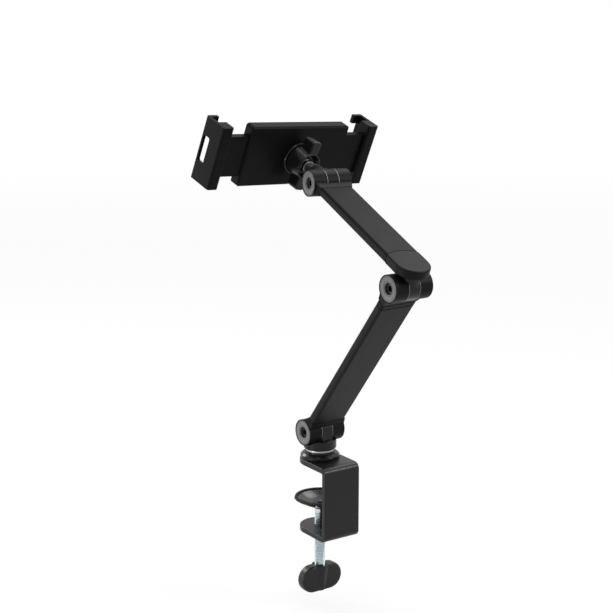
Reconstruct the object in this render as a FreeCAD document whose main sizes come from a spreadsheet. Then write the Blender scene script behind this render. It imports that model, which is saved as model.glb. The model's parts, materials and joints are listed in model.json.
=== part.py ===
import FreeCAD, Part
import os
import re
import Sketcher
from math import cos, sin, radians

# Desktop tablet holder: a desk clamp, a swivel, two hinged arms, a ball head and a holder with sliding jaws.
# The origin lies on the underside of the clamp's top plate, behind the swivel axis.
# +Z is up and -Y is towards the user.

SIZES = [
    ("bar_width", 38, "clamp: width of the flat bar"),
    ("bar_thickness", 5, "clamp: thickness of the flat bar"),
    ("nose_reach", 18, "clamp: round nose in front of the swivel axis"),
    ("wall_back", 35, "clamp: outer face of the back wall behind the swivel axis"),
    ("mount_back", 18, "origin behind the swivel axis"),
    ("clamp_depth", 65, "clamp: underside of the top plate to underside of the bottom plate"),
    ("bend_radius", 6, "clamp: outer radius of both bends"),
    ("edge_round", 0.8, "clamp: rounding of the long edges"),
    ("fit_gap", 0.03, "gap of pieces that stay together"),
    ("run_gap", 0.06, "gap of a pin or thread that turns"),
    ("free_gap", 0.4, "gap of faces that pass each other"),
    ("touch_gap", 0.05, "gap between a washer and the face that turns on it"),
    ("seam_gap", 0.6, "arms: open seam at the ends of the tubes"),
    ("pad_drop", 33, "pad: rim under the top plate"),
    ("pad_radius", 23.5, "pad: rim radius"),
    ("dish_depth", 8, "pad: depth of the dish"),
    ("dish_wall", 2, "pad: sheet thickness"),
    ("rubber_height", 1.5, "pad: rubber ring height"),
    ("hub_radius", 7, "pad: hub radius"),
    ("hub_bottom", 10.4, "pad: hub's lower face under the rim"),
    ("hub_floor", 6.8, "pad: flat floor inside the dish under the rim"),
    ("screw_radius", 4.95, "screw: outer radius of the thread"),
    ("screw_bottom", 87, "screw: lower end under the pad's rim"),
    ("tip_radius", 3.5, "screw: turned tip"),
    ("tip_top", 4.6, "screw: end of the tip under the rim"),
    ("clip_height", 1.2, "clips: thickness"),
    ("clip_radius", 6, "clips: outer radius on the screw"),
    ("bush_radius", 7, "clamp: radius of the threaded bush"),
    ("knob_top", 66.4, "knob: top under the rim"),
    ("knob_height", 25.4, "knob: height, also the diameter of its round ends"),
    ("knob_length", 43.7, "knob: length"),
    ("knob_thickness", 10.5, "knob: thickness of the wings"),
    ("knob_hub", 8, "knob: hub radius at the top"),
    ("knob_mouth", 6.2, "knob: radius of the recess round the screw"),
    ("knob_recess", 1.6, "knob: depth of the recess round the screw"),
    ("knob_round", 2.5, "knob: rounding of the wings"),
    ("cross_pin", 1.5, "radius of cross pins and dowels"),
    ("foot_radius", 17.8, "foot: lower radius"),
    ("foot_skirt", 3, "foot: height of its straight side"),
    ("foot_height", 5, "foot: height to the end of its cone"),
    ("foot_upper", 15.5, "foot: upper radius"),
    ("neck_radius", 13.2, "foot: recessed neck and thrust washer radius"),
    ("neck_height", 2, "foot: height of the recessed neck"),
    ("thrust_height", 1.8, "thrust washer thickness"),
    ("drum_radius", 15, "swivel: drum radius"),
    ("drum_height", 9.2, "swivel: drum height"),
    ("lower_axis", 31, "swivel: lower hinge axis above the top plate's underside"),
    ("bolt_radius", 4, "swivel bolt: thread radius"),
    ("bolt_head", 7.8, "swivel bolt: head radius"),
    ("bolt_cone", 3.8, "swivel bolt: head height"),
    ("bolt_inset", 0.4, "swivel bolt: head above the plate's underside"),
    ("bolt_end", 24, "swivel bolt: upper end"),
    ("barrel_radius", 12, "hinges: barrel radius"),
    ("barrel_half", 19, "hinges: half length of a barrel"),
    ("tongue_half", 5.45, "hinges: half width of the middle tongue"),
    ("spacer", 0.5, "hinges: washer thickness"),
    ("spacer_proud", 0.25, "hinges: washer past the barrel"),
    ("pin_radius", 3, "hinges: bolt radius"),
    ("pin_head", 5, "hinges: bolt head radius"),
    ("pin_head_height", 6, "hinges: bolt head height"),
    ("disc_radius", 11.1, "hinges: end disc radius"),
    ("disc_height", 2, "hinges: end disc thickness"),
    ("disc_hole", 5.3, "hinges: hole in the end disc"),
    ("nut_flats", 10, "hinges: nut across flats"),
    ("nut_height", 5, "hinges: nut height"),
    ("fork_reach", 17, "arm forks: hinge axis to the tube"),
    ("fork_root", 7, "arm forks: hinge axis to the start of the block"),
    ("fork_half", 6.3, "arm forks: half thickness at the barrel"),
    ("arm_thickness", 8.5, "arms: thickness"),
    ("arm_wall", 1.8, "arms: wall of the tube"),
    ("arm_edge", 2.5, "arms: rounding of the tube's long edges"),
    ("lower_width", 36, "lower arm: width"),
    ("lower_length", 198, "lower arm: hinge axis to hinge axis"),
    ("collar_height", 6, "lower arm: band below the upper fork"),
    ("upper_width", 32, "upper arm: width"),
    ("upper_length", 150, "upper arm: elbow swivel axis to head hinge axis"),
    ("plug_length", 20, "arms: length of the forks' plugs"),
    ("screw_small", 1.5, "small screws: thread radius"),
    ("screw_head", 2.75, "small screws: head radius"),
    ("head_height", 1.2, "small screws: head height"),
    ("screw_side", 8, "small screws in the arms: off the middle"),
    ("elbow_rise", 18.5, "elbow: hinge axis to the upper arm's mid plane"),
    ("boss_radius", 11, "elbow: boss radius"),
    ("boss_washer_height", 0.8, "elbow: washer between boss and arm"),
    ("spigot_radius", 6, "elbow: spigot radius"),
    ("spigot_end", 19.9, "elbow: spigot end above the hinge axis"),
    ("groove_radius", 4.7, "elbow: radius under the clip"),
    ("cap_floor", 3, "upper arm cap: floor around the spigot"),
    ("cap_seam", 19.5, "upper arm cap: crown of the curved seam"),
    ("seam_radius", 28, "upper arm cap: radius of the curved seam"),
    ("cap_plug_end", 37, "upper arm cap: end of the plug"),
    ("cap_room", 10, "upper arm cap: half width of the space for the clip"),
    ("stud_length", 47, "head: hinge axis to ball centre"),
    ("stud_start", 22, "head: end of the knuckle's boss"),
    ("head_boss", 8, "head: radius of the knuckle's boss"),
    ("stud_flange", 7.5, "head: flange radius of the stud"),
    ("stud_radius", 4.5, "head: stud radius"),
    ("stud_collar", 6, "head: radius of the stud's collar behind the ball"),
    ("collar_length", 5, "head: length of the stud's collar"),
    ("collar_round", 1.2, "head: rounding of the stud's collar"),
    ("ball_radius", 8.5, "ball radius"),
    ("liner_wall", 1.4, "ball liner thickness"),
    ("liner_reach", 7.5, "ball liners: front edge from the ball centre"),
    ("liner_edge", 4.5, "ball liners: edges from the ball centre"),
    ("liner_start", 2, "ball liners: front edge of the rear one"),
    ("socket_back", 12, "ball centre to the shell's rear face"),
    ("flange_top", 6.5, "ball centre to the top of the socket's flange"),
    ("flange_radius", 15.2, "socket: flange radius"),
    ("socket_radius", 11.6, "socket: radius of the threaded collar"),
    ("socket_mouth", 5, "socket: end of the collar past the ball centre"),
    ("nut_hub", 14.5, "wing nut: hub radius at the socket"),
    ("nut_rear", 12.6, "wing nut: hub radius at the rear"),
    ("nut_end", 10, "wing nut: rear face past the ball centre"),
    ("nut_lip", 1, "wing nut: wall at the rear rim"),
    ("wing_reach", 24, "wing nut: wing tip from the centre"),
    ("wing_half", 5, "wing nut: half width of a wing"),
    ("wing_round", 2.4, "wing nut: rounding of the tips"),
    ("wing_edge", 1.2, "wing nut: rounding of the wings' edges"),
    ("wing_thickness", 13.5, "wing nut: thickness of a wing"),
    ("shell_half", 58, "holder shell: half length"),
    ("shell_rise", 29.5, "holder shell: half height"),
    ("shell_depth", 9, "holder shell: depth without the cover"),
    ("shell_corner", 3, "holder shell: rounding of the corners"),
    ("bevel_depth", 2, "holder shell: depth of the bevel"),
    ("bevel_end", 1.5, "holder shell: bevel at the ends"),
    ("bevel_side", 1.5, "holder shell: bevel above and below"),
    ("cover_thickness", 2, "holder cover thickness"),
    ("case_screw_inset", 6, "holder cover: screws from its edges"),
    ("grip_pad", 1, "thickness of the rubber pads against the tablet"),
    ("front_pad_length", 14, "holder cover: length of its rubber pads"),
    ("front_pad_rise", 24, "holder cover: half height of its rubber pads"),
    ("bar_rise", 19.5, "sliding bars: half height"),
    ("bar_depth", 6, "sliding bars: thickness"),
    ("rack_depth", 3.5, "sliding bars: thickness of the inner part and the rack"),
    ("bar_front", 20.5, "sliding bars: front face from the ball centre"),
    ("bar_inner", 22, "sliding bars: inner end of the plate"),
    ("bar_step", 27, "sliding bars: where the full thickness starts"),
    ("rack_end", 30, "sliding bars: rack's end past the centre"),
    ("rack_near", 6, "sliding bars: rack's toothed edge from the centre line"),
    ("rack_width", 5, "sliding bars: rack width"),
    ("rack_slot_end", 60, "sliding bars: end of the slot for the other rack"),
    ("pinion_radius", 5.6, "pinion radius"),
    ("tooth_notch", 0.9, "pinion and racks: radius of the tooth gaps"),
    ("tooth_pitch", 3.6, "racks: tooth pitch"),
    ("jaw_outer", 93, "jaws: outer face from the centre"),
    ("jaw_width", 11.5, "jaws: width"),
    ("jaw_joint", 6, "jaws: how far the bar goes in"),
    ("jaw_screw_rise", 12, "jaws: screws above and below the middle"),
    ("jaw_wall", 3, "jaws: outer wall"),
    ("jaw_rise", 30, "jaws: half height"),
    ("jaw_back", 10, "jaws: rear face from the ball centre"),
    ("tablet_gap", 10, "jaws: gap for the tablet"),
    ("lip_thickness", 3.5, "jaws: thickness of the front fingers"),
    ("finger_gap", 22, "jaws: half gap between the two fingers"),
    ("slot_top", 13, "jaws: top of the side slot"),
    ("slot_bottom", 12, "jaws: bottom of the side slot"),
    ("slot_round", 2.2, "jaws: rounding of the side slot's ends"),
    ("jaw_round", 2, "jaws: rounding of the outer corners"),
    ("lower_lean", 38.5, "pose: lower arm back from upright, degrees"),
    ("upper_pitch", 20, "pose: upper arm above level, degrees"),
    ("elbow_turn", -5.5, "pose: elbow swivel, degrees"),
    ("head_pitch", 15.5, "pose: ball stud above level, degrees"),
    ("holder_yaw", 5.5, "pose: holder turned about the upright, degrees"),
    ("holder_tilt", 20.5, "pose: holder leaning back, degrees"),
    ("holder_roll", -4, "pose: holder rolled about its own normal, degrees"),
    ("nut_turn", -7.5, "pose: wing nut turned on the socket, degrees"),
]
SIZE = {name: value for name, value, note in SIZES}

doc = FreeCAD.newDocument("tablet_holder")
sheet = doc.addObject("Spreadsheet::Sheet", "dims")
for row, (name, value, note) in enumerate(SIZES, start=1):
    sheet.set(f"A{row}", note)
    sheet.set(f"B{row}", str(value))
    sheet.setAlias(f"B{row}", name)
doc.recompute()

NODES = []
ALONG = {
    "Z": FreeCAD.Rotation(),
    "X": FreeCAD.Rotation(FreeCAD.Vector(0, 1, 0), 90),
    "Y": FreeCAD.Rotation(FreeCAD.Vector(1, 0, 0), -90),
}
X_AXIS = FreeCAD.Vector(1, 0, 0)
Y_AXIS = FreeCAD.Vector(0, 1, 0)
Z_AXIS = FreeCAD.Vector(0, 0, 1)


def sized(text):
    """An expression in which each size's name refers to its cell."""
    return re.sub(r"[a-z][a-z_]*", lambda m: "dims." + m[0] if m[0] in SIZE else m[0], str(text))


def bind(obj, **properties):
    for name, value in properties.items():
        obj.setExpression(name, sized(value))
    return obj


def place(obj, at, along="Z"):
    obj.Placement = FreeCAD.Placement(FreeCAD.Vector(), ALONG[along])
    for letter, value in zip("xyz", at):
        if value != 0:
            obj.setExpression("Placement.Base." + letter, sized(value))
    return obj


def rod(name, radius, length, at=(0, 0, 0), along="Z"):
    return place(bind(doc.addObject("Part::Cylinder", name), Radius=radius, Height=length), at, along)


def cone(name, start, end, length, at=(0, 0, 0), along="Z"):
    obj = bind(doc.addObject("Part::Cone", name), Radius1=start, Radius2=end, Height=length)
    return place(obj, at, along)


def ball(name, radius, at=(0, 0, 0)):
    return place(bind(doc.addObject("Part::Sphere", name), Radius=radius), at)


def block(name, x, y, z):
    """A box from the three ranges (start, end)."""
    obj = doc.addObject("Part::Box", name)
    bind(obj, Length=f"({x[1]}) - ({x[0]})", Width=f"({y[1]}) - ({y[0]})", Height=f"({z[1]}) - ({z[0]})")
    return place(obj, (x[0], y[0], z[0]))


def hexagon(name, flats, length, at=(0, 0, 0), along="Z"):
    obj = doc.addObject("Part::Prism", name)
    obj.Polygon = 6
    bind(obj, Circumradius=f"({flats}) / 2 / cos(30)", Height=length)
    return place(obj, at, along)


def taper(name, start, end, first, last, along="Y"):
    """A block that tapers from half sizes first at start to half sizes last at end."""
    obj = doc.addObject("Part::Wedge", name)
    bind(obj, Ymin=start, Ymax=end)
    bind(obj, Xmin=f"-({first[0]})", Xmax=first[0], Zmin=f"-({first[1]})", Zmax=first[1])
    bind(obj, X2min=f"-({last[0]})", X2max=last[0], Z2min=f"-({last[1]})", Z2max=last[1])
    if along == "Z":
        obj.Placement = FreeCAD.Placement(FreeCAD.Vector(), FreeCAD.Rotation(X_AXIS, 90))
    return obj


def fuse(name, shapes):
    obj = doc.addObject("Part::MultiFuse", name)
    obj.Shapes = shapes
    obj.Refine = True
    return obj


def cut(name, base, tools):
    obj = doc.addObject("Part::Cut", name)
    obj.Base = base
    obj.Tool = tools[0] if len(tools) == 1 else fuse(name + "_tools", tools)
    obj.Refine = True
    return obj


def common(name, base, tool):
    obj = doc.addObject("Part::Common", name)
    obj.Base = base
    obj.Tool = tool
    return obj


def edges_where(shape, test):
    return [i for i, edge in enumerate(shape.Edges, start=1) if test(edge)]


def dress(kind, name, base, radius, test):
    """A fillet or chamfer of the size named radius on the edges of base that pass the test."""
    doc.recompute()
    obj = doc.addObject("Part::" + kind, name)
    obj.Base = base
    picked = edges_where(base.Shape, test)
    if not picked:
        raise RuntimeError(name + " finds no edge")
    obj.Edges = [(i, radius, radius) for i in picked]
    return obj


def keep(obj, label, placement=None):
    """Names a sub-part and sets it in its place."""
    obj.Label = label
    if placement is not None:
        obj.Placement = placement
    NODES.append(obj)
    return obj


def group(label, shapes, placement=None):
    """Identical pieces that stay separate solids."""
    obj = doc.addObject("Part::Compound", label + "_set")
    obj.Links = shapes
    return keep(obj, label, placement)


def turned(name, points):
    """A turned piece: a closed profile of (radius, height) points revolved about Z."""
    body = doc.addObject("PartDesign::Body", name)
    plane = [f for f in body.Origin.OriginFeatures if f.Role == "XZ_Plane"][0]
    sketch = body.newObject("Sketcher::SketchObject", name + "_profile")
    sketch.AttachmentSupport = [(plane, "")]
    sketch.MapMode = "FlatFace"
    count = len(points)
    turns = [radians(360 * i / count) for i in range(count)]
    start = [FreeCAD.Vector(20 + 10 * cos(a), 20 + 10 * sin(a), 0) for a in turns]
    for i in range(count):
        sketch.addGeometry(Part.LineSegment(start[i], start[(i + 1) % count]), False)
    for i in range(count):
        sketch.addConstraint(Sketcher.Constraint("Coincident", i, 2, (i + 1) % count, 1))
    for i, (radius, height) in enumerate(points):
        across = ("DistanceX", radius, start[i].x, -2)
        upward = ("DistanceY", height, start[i].y, -1)
        for kind, size, first, axis in (across, upward):
            if size == 0:
                sketch.addConstraint(Sketcher.Constraint("PointOnObject", i, 1, axis))
            else:
                index = sketch.addConstraint(Sketcher.Constraint(kind, -1, 1, i, 1, first))
                sketch.setExpression(f"Constraints[{index}]", sized(size))
    revolution = body.newObject("PartDesign::Revolution", name + "_revolution")
    revolution.Profile = sketch
    revolution.ReferenceAxis = (sketch, ["V_Axis"])
    revolution.Angle = 360
    body.Tip = revolution
    return body


def frame(point, *turns):
    """A placement at point, turned by each (axis, degrees) in order, the first one outermost."""
    rotation = FreeCAD.Rotation()
    for axis, degrees in turns:
        rotation = rotation.multiply(FreeCAD.Rotation(axis, degrees))
    return FreeCAD.Placement(point, rotation)


# Where each moving group stands in the pose shown
CLAMP = frame(FreeCAD.Vector(0, -SIZE["mount_back"], 0))
PAD = CLAMP.multiply(frame(FreeCAD.Vector(0, 0, -SIZE["pad_drop"])))
LOWER = CLAMP.multiply(frame(FreeCAD.Vector(0, 0, SIZE["lower_axis"]), (X_AXIS, -SIZE["lower_lean"])))
LOWER_TOP = LOWER.multiply(frame(FreeCAD.Vector(0, 0, SIZE["lower_length"]), (X_AXIS, 180)))
ELBOW = LOWER.multVec(FreeCAD.Vector(0, 0, SIZE["lower_length"]))
BOSS = frame(ELBOW, (X_AXIS, -SIZE["upper_pitch"]))
SWING = BOSS.multiply(frame(FreeCAD.Vector(0, 0, SIZE["elbow_rise"]), (Z_AXIS, SIZE["elbow_turn"])))
UPPER = SWING.multiply(frame(FreeCAD.Vector(), (X_AXIS, 90)))
UPPER_TOP = UPPER.multiply(frame(FreeCAD.Vector(0, 0, SIZE["upper_length"]), (X_AXIS, 180)))
HEAD_BEND = SIZE["upper_pitch"] - SIZE["head_pitch"]
HEAD = UPPER.multiply(frame(FreeCAD.Vector(0, 0, SIZE["upper_length"]), (X_AXIS, HEAD_BEND)))
BALL = HEAD.multVec(FreeCAD.Vector(0, 0, SIZE["stud_length"]))
HOLDER_TURNS = ((Z_AXIS, SIZE["holder_yaw"]), (X_AXIS, -SIZE["holder_tilt"]), (Y_AXIS, SIZE["holder_roll"]))
HOLDER = frame(BALL, *HOLDER_TURNS)
RIGHT_SIDE = HOLDER.multiply(frame(FreeCAD.Vector(), (Y_AXIS, 180)))


def is_line_along(edge, axis):
    return len(edge.Vertexes) == 2 and abs(abs(edge.tangentAt(edge.FirstParameter).dot(axis)) - 1) < 1e-6


# Clamp

NOSE = "(bar_width / 2 - nose_reach)"


def clamp_plate(name, bottom):
    wide = ("-bar_width / 2", "bar_width / 2")
    flat = block(name, wide, (NOSE, "wall_back"), (bottom, f"{bottom} + bar_thickness"))
    nose = rod(name + "_nose", "bar_width / 2", "bar_thickness", (0, NOSE, bottom))
    return [flat, nose]


def clamp_bracket():
    wide = ("-bar_width / 2", "bar_width / 2")
    wall = block("clamp_wall", wide, ("wall_back - bar_thickness", "wall_back"),
                 ("-clamp_depth", "bar_thickness"))
    plates = clamp_plate("clamp_top", "0") + clamp_plate("clamp_low", "-clamp_depth")
    blank = fuse("clamp_blank", plates + [wall])
    back = SIZE["wall_back"]
    inner = back - SIZE["bar_thickness"]
    ends = (SIZE["bar_thickness"], -SIZE["clamp_depth"])

    def outer_bend(edge):
        place_y, place_z = edge.CenterOfMass.y, edge.CenterOfMass.z
        at_end = min(abs(place_z - z) for z in ends) < 0.01
        return is_line_along(edge, X_AXIS) and abs(place_y - back) < 0.01 and at_end

    def inner_bend(edge):
        place_y = edge.CenterOfMass.y
        return is_line_along(edge, X_AXIS) and abs(place_y - inner) < 0.01

    bent = dress("Fillet", "clamp_bend", blank, SIZE["bend_radius"], outer_bend)
    bent = dress("Fillet", "clamp_inner_bend", bent, SIZE["bend_radius"] - SIZE["bar_thickness"], inner_bend)
    half = SIZE["bar_width"] / 2

    def long_edge(edge):
        box = edge.BoundBox
        on_side = abs(box.XMin - box.XMax) < 1e-6 and abs(abs(box.XMin) - half) < 1e-6
        level = abs(box.ZMin - box.ZMax) < 1e-6
        on_nose = level and box.XMax - box.XMin > 1 and box.YMin < half
        upright = is_line_along(edge, Z_AXIS) and box.ZMax - box.ZMin < SIZE["bar_thickness"] + 0.01
        return (on_side or (on_nose and not is_line_along(edge, X_AXIS))) and not upright

    bent = dress("Fillet", "clamp_soft", bent, SIZE["edge_round"], long_edge)
    holes = [
        rod("bolt_hole", "bolt_radius + fit_gap + run_gap", "bar_thickness + 2", (0, 0, -1)),
        cone("bolt_sink", "bolt_head + run_gap", "bolt_radius + run_gap", "bolt_cone",
             (0, 0, "bolt_inset")),
        rod("bolt_mouth", "bolt_head + run_gap", "bolt_inset + 1", (0, 0, -1)),
        rod("bush_hole", "bush_radius", "bar_thickness + 2", (0, 0, "-clamp_depth - 1")),
    ]
    for name, side in (("dowel_hole_a", ""), ("dowel_hole_b", "-")):
        holes.append(rod(name, "cross_pin", 5, (f"{side}bolt_head * 1.4", 0, "bar_thickness - 3.5")))
    keep(cut("clamp_bracket_solid", bent, holes), "clamp_bracket", CLAMP)


def foot_and_washers():
    top = "(foot_height + neck_height)"
    bore = "(bolt_radius + fit_gap + run_gap)"
    blank = turned("foot_turned", [
        (bore, 0), ("foot_radius", 0), ("foot_radius", "foot_skirt"), ("foot_upper", "foot_height"),
        ("neck_radius", "foot_height"), ("neck_radius", top), (bore, top)])
    dowels = [rod("foot_dowel_hole_a", "cross_pin", 4, ("bolt_head * 1.4", 0, 0)),
              rod("foot_dowel_hole_b", "cross_pin", 4, ("-bolt_head * 1.4", 0, 0))]
    on_plate = CLAMP.multiply(frame(FreeCAD.Vector(0, 0, SIZE["bar_thickness"])))
    keep(cut("base_foot_solid", blank, dowels), "base_foot", on_plate)
    pins = [rod("dowel_a", "cross_pin", 7, ("bolt_head * 1.4", 0, -3.4)),
            rod("dowel_b", "cross_pin", 7, ("-bolt_head * 1.4", 0, -3.4))]
    group("foot_dowels", pins, on_plate)
    foot_top = SIZE["bar_thickness"] + SIZE["foot_height"] + SIZE["neck_height"]
    on_foot = CLAMP.multiply(frame(FreeCAD.Vector(0, 0, foot_top)))
    washer = turned("thrust_washer_ring", [
        (bore, 0), ("neck_radius", 0), ("neck_radius", "thrust_height"), (bore, "thrust_height")])
    keep(washer, "thrust_washer", on_foot)
    at_bush = CLAMP.multiply(frame(FreeCAD.Vector(0, 0, -SIZE["clamp_depth"])))
    bush_bore = "(screw_radius + run_gap)"
    bush = turned("bush_ring", [
        (bush_bore, 0), ("bush_radius", 0), ("bush_radius", "bar_thickness"), (bush_bore, "bar_thickness")])
    keep(bush, "screw_bush", at_bush)


# Pad and screw

DISH_SPHERE = "((pad_radius^2 + dish_depth^2) / (2 * dish_depth))"
RIM = "(-rubber_height)"


def pressure_pad():
    centre = f"{RIM} - dish_depth + {DISH_SPHERE}"
    outer = common("dish_outer", ball("dish_ball", DISH_SPHERE, (0, 0, centre)),
                   rod("dish_slice", "pad_radius + 2", "dish_depth", (0, 0, f"{RIM} - dish_depth")))
    hollow = ball("dish_hollow", f"{DISH_SPHERE} - dish_wall", (0, 0, centre))
    dish = cut("dish_shell", outer, [hollow])
    hub = rod("pad_hub", "hub_radius", "hub_bottom - hub_floor", (0, 0, "-hub_bottom"))
    blank = fuse("pad_blank", [dish, hub])
    bore = rod("pad_bore", "tip_radius + run_gap", "hub_bottom + 2", (0, 0, "-hub_bottom - 1"))
    keep(cut("pressure_pad_solid", blank, [bore]), "pressure_pad", PAD)
    ring_in = "(pad_radius - 3)"
    rubber = PAD.multiply(frame(FreeCAD.Vector(0, 0, -SIZE["rubber_height"])))
    ring = turned("rubber_ring", [
        (ring_in, 0), ("pad_radius", 0), ("pad_radius - 0.5", "rubber_height"), (ring_in, "rubber_height")])
    keep(ring, "pad_rubber", rubber)


def clamp_screw():
    groove = "(tip_radius - 0.8)"
    shoulder = "(screw_bottom - hub_bottom - touch_gap)"
    clip_low = "(screw_bottom - hub_floor + touch_gap)"
    clip_high = f"({clip_low} + clip_height + 0.05)"
    end = "(screw_bottom - tip_top)"
    low = PAD.multiply(frame(FreeCAD.Vector(0, 0, -SIZE["screw_bottom"])))
    blank = turned("screw_turned", [
        (0, 0), ("screw_radius - 1", 0), ("screw_radius", 1), ("screw_radius", f"{shoulder} - 1"),
        ("screw_radius - 0.8", shoulder), ("tip_radius", shoulder), ("tip_radius", clip_low),
        (groove, clip_low), (groove, clip_high), ("tip_radius", clip_high),
        ("tip_radius", f"{end} - 0.5"), ("tip_radius - 0.5", end), (0, end)])
    pin_at = "(screw_bottom - knob_top - knob_height / 3)"
    pin_hole = rod("screw_pin_hole", "cross_pin + fit_gap", 14, (0, -7, pin_at), "Y")
    keep(cut("clamp_screw_solid", blank, [pin_hole]), "clamp_screw", low)
    ring = rod("clip_ring", "clip_radius", "clip_height", (0, 0, f"{clip_low} + 0.02"))
    inner = rod("clip_hole", f"{groove} + fit_gap", 4, (0, 0, f"{clip_low} - 1"))
    mouth = block("clip_mouth", ("-2", "2"), ("0", "clip_radius + 1"),
                  (f"{clip_low} - 1", f"{clip_high} + 1"))
    keep(cut("pad_clip_solid", ring, [inner, mouth]), "pad_clip", low)
    knob_low = "(screw_bottom - knob_top - knob_height)"
    centre = f"({knob_low} + knob_height / 2)"
    reach = "(knob_length / 2 - knob_height / 2)"
    side = "(-knob_thickness / 2)"
    web = block("knob_web", (f"-{reach}", reach), (side, "knob_thickness / 2"),
                (knob_low, f"{knob_low} + knob_height"))
    wings = [rod("knob_wing_a", "knob_height / 2", "knob_thickness", (reach, side, centre), "Y"),
             rod("knob_wing_b", "knob_height / 2", "knob_thickness", (f"-{reach}", side, centre), "Y")]
    paddle = fuse("knob_paddle", wings + [web])
    flat = SIZE["knob_thickness"] / 2
    paddle = dress("Fillet", "knob_soft", paddle, SIZE["knob_round"],
                   lambda edge: abs(edge.BoundBox.YMin - edge.BoundBox.YMax) < 1e-6
                   and abs(abs(edge.CenterOfMass.y) - flat) < 0.01)
    hub = cone("knob_hub_cone", "knob_thickness / 2", "knob_hub", "knob_height", (0, 0, knob_low))
    hub = dress("Chamfer", "knob_hub_soft", hub, 0.8, lambda edge: len(edge.Vertexes) == 1)
    knob = fuse("knob_blank", [paddle, hub])
    holes = [rod("knob_bore", "screw_radius + fit_gap", "knob_top + knob_height", (0, 0, 0)),
             rod("knob_mouth_rod", "knob_mouth", "knob_recess + 1",
                 (0, 0, f"{knob_low} + knob_height - knob_recess")),
             rod("knob_pin_hole", "cross_pin + fit_gap", "20 + knob_hub - 2.6", (0, -20, pin_at), "Y")]
    keep(cut("clamp_knob_solid", knob, holes), "clamp_knob", low)
    pin = rod("knob_pin_rod", "cross_pin", "2 * knob_hub - 4.8", (0, "-knob_hub + 2", pin_at), "Y")
    group("knob_pin", [pin], low)


# Swivel

DRUM_BASE = "(bar_thickness + foot_height + neck_height + thrust_height + touch_gap)"
KNUCKLE_INNER = "(tongue_half + touch_gap + spacer)"
SADDLE = "(barrel_radius + spacer_proud + free_gap)"


def saddle_room(name, axis_height):
    """The room that the outer knuckles and washers of a barrel need beside the tongue."""
    right = rod(name + "_a", SADDLE, 40, ("tongue_half", 0, axis_height), "X")
    left = rod(name + "_b", SADDLE, 40, ("-tongue_half - 40", 0, axis_height), "X")
    return [right, left]


def tongue(name, axis_height):
    return rod(name, "barrel_radius", "2 * tongue_half", ("-tongue_half", 0, axis_height), "X")


def pin_bore(name, axis_height, gap):
    start = ("-barrel_half - 1", 0, axis_height)
    return rod(name, f"pin_radius + {gap}", "2 * barrel_half + 2", start, "X")


def base_swivel():
    drum = rod("drum", "drum_radius", "drum_height", (0, 0, DRUM_BASE))
    drum = dress("Chamfer", "drum_soft", drum, 1, lambda edge: len(edge.Vertexes) == 1)
    neck = block("drum_neck", ("-tongue_half", "tongue_half"), ("-barrel_radius", "barrel_radius"),
                 (f"{DRUM_BASE} + 1", "lower_axis"))
    blank = fuse("swivel_blank", [drum, neck, tongue("swivel_tongue", "lower_axis")])
    tools = saddle_room("swivel_room", "lower_axis")
    tools.append(pin_bore("swivel_bore", "lower_axis", "run_gap"))
    thread_depth = f"bolt_end + 0.5 - {DRUM_BASE} + 1"
    tools.append(rod("swivel_thread", "bolt_radius + fit_gap", thread_depth, (0, 0, f"{DRUM_BASE} - 1")))
    keep(cut("base_swivel_solid", blank, tools), "base_swivel", CLAMP)
    head = cone("bolt_head_cone", "bolt_head", "bolt_radius", "bolt_cone", (0, 0, "bolt_inset"))
    shank = rod("bolt_shank", "bolt_radius", "bolt_end - bolt_inset - 1", (0, 0, "bolt_inset + 1"))
    bolt = fuse("bolt_blank", [head, shank])
    socket = hexagon("bolt_socket", 5, "bolt_inset + 2.6", (0, 0, 0))
    keep(cut("swivel_bolt_solid", bolt, [socket]), "swivel_bolt", CLAMP)


# Hinge forks and their fasteners, in an arm's frame: X across, Y out of the wide face, Z along the arm

def fork(tag, width, plug_extra="0"):
    """Both outer knuckles of a hinge with the block that carries them and the plug for the tube."""
    length = f"(barrel_half - {KNUCKLE_INNER})"
    knuckles = [rod(tag + "_knuckle_a", "barrel_radius", length, (KNUCKLE_INNER, 0, 0), "X"),
                rod(tag + "_knuckle_b", "barrel_radius", length, ("-barrel_half", 0, 0), "X")]
    root = taper(tag + "_root", "fork_root", "fork_reach", ("barrel_half", "fork_half"),
                 (f"{width} / 2", "arm_thickness / 2"), "Z")
    plug_x = f"({width} / 2 - arm_wall - fit_gap)"
    plug_y = "(arm_thickness / 2 - arm_wall - fit_gap)"
    plug = block(tag + "_plug", (f"-{plug_x}", plug_x), (f"-{plug_y}", plug_y),
                 ("fork_reach - 1", f"fork_reach + plug_length + {plug_extra}"))
    room = rod(tag + "_room", "barrel_radius + free_gap", f"2 * {KNUCKLE_INNER}",
               (f"-{KNUCKLE_INNER}", 0, 0), "X")
    open_block = cut(tag + "_open", root, [room])
    return fuse(tag + "_blank", knuckles + [open_block, plug])


def fork_holes(tag):
    return [
        pin_bore(tag + "_bore", 0, "fit_gap"),
        rod(tag + "_head_room", "pin_head + 0.3", "barrel_half",
            ("barrel_half - disc_height - pin_head_height", 0, 0), "X"),
        rod(tag + "_disc_room", "disc_radius + fit_gap", "barrel_half",
            ("barrel_half - disc_height", 0, 0), "X"),
        rod(tag + "_cap_room", "disc_radius + fit_gap", 20, ("-barrel_half + disc_height - 20", 0, 0), "X"),
        hexagon(tag + "_nut_room", "nut_flats + 0.1", 20,
                ("-barrel_half + disc_height + nut_height + 0.1 - 20", 0, 0), "X"),
    ]


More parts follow.
